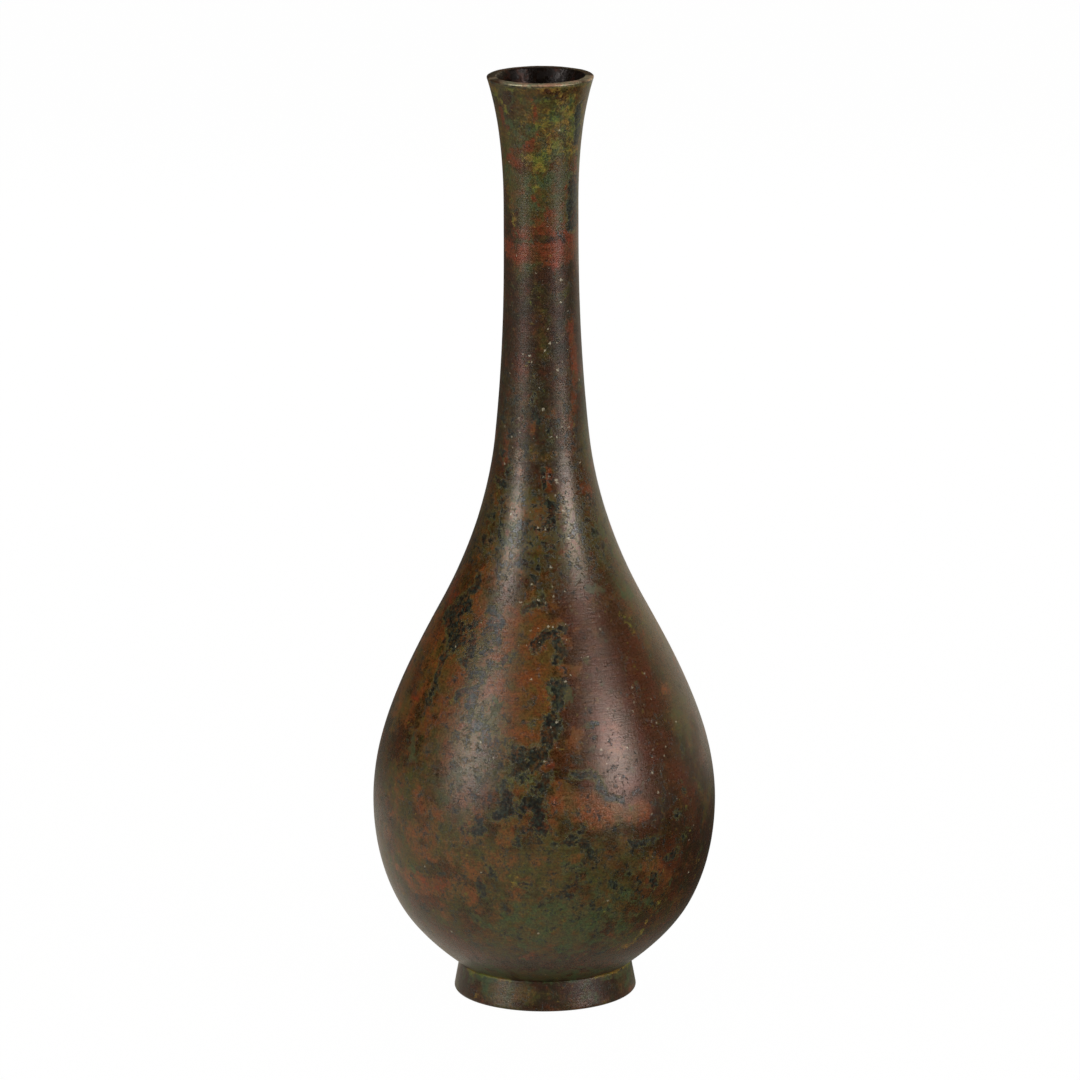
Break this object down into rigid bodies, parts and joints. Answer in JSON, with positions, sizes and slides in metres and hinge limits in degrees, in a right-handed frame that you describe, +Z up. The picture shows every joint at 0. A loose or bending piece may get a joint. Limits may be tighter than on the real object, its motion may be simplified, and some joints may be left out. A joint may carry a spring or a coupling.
{
  "type": "long-necked bottle vase",
  "caption": "Long-necked pear-bodied bronze bottle vase with a flared mouth on a low flared foot ring, holding water and a few stems; mottled brown, red and green patina.",
  "frame": {"origin": "on the vessel's axis, in the plane of the foot ring's underside that it stands on", "axes": "+Z up along the vessel's axis to the mouth; the picture is taken looking along +Y and a little down"},
  "size_m": [0.1104, 0.1104, 0.3],
  "materials": {
    "bronze": "waxed mottled brown, red and green patina on cast bronze",
    "foot_bronze": "waxed dark brown patina with green in the joint",
    "plate_bronze": "turned plate, dull dark patina",
    "solder": "dull grey soft solder"
  },
  "bodies": {
    "root": {"body_casting": "bronze", "foot_ring": "foot_bronze", "base_plate": "plate_bronze", "foot_solder": "solder", "plate_solder": "solder"}
  },
  "joints": []
}
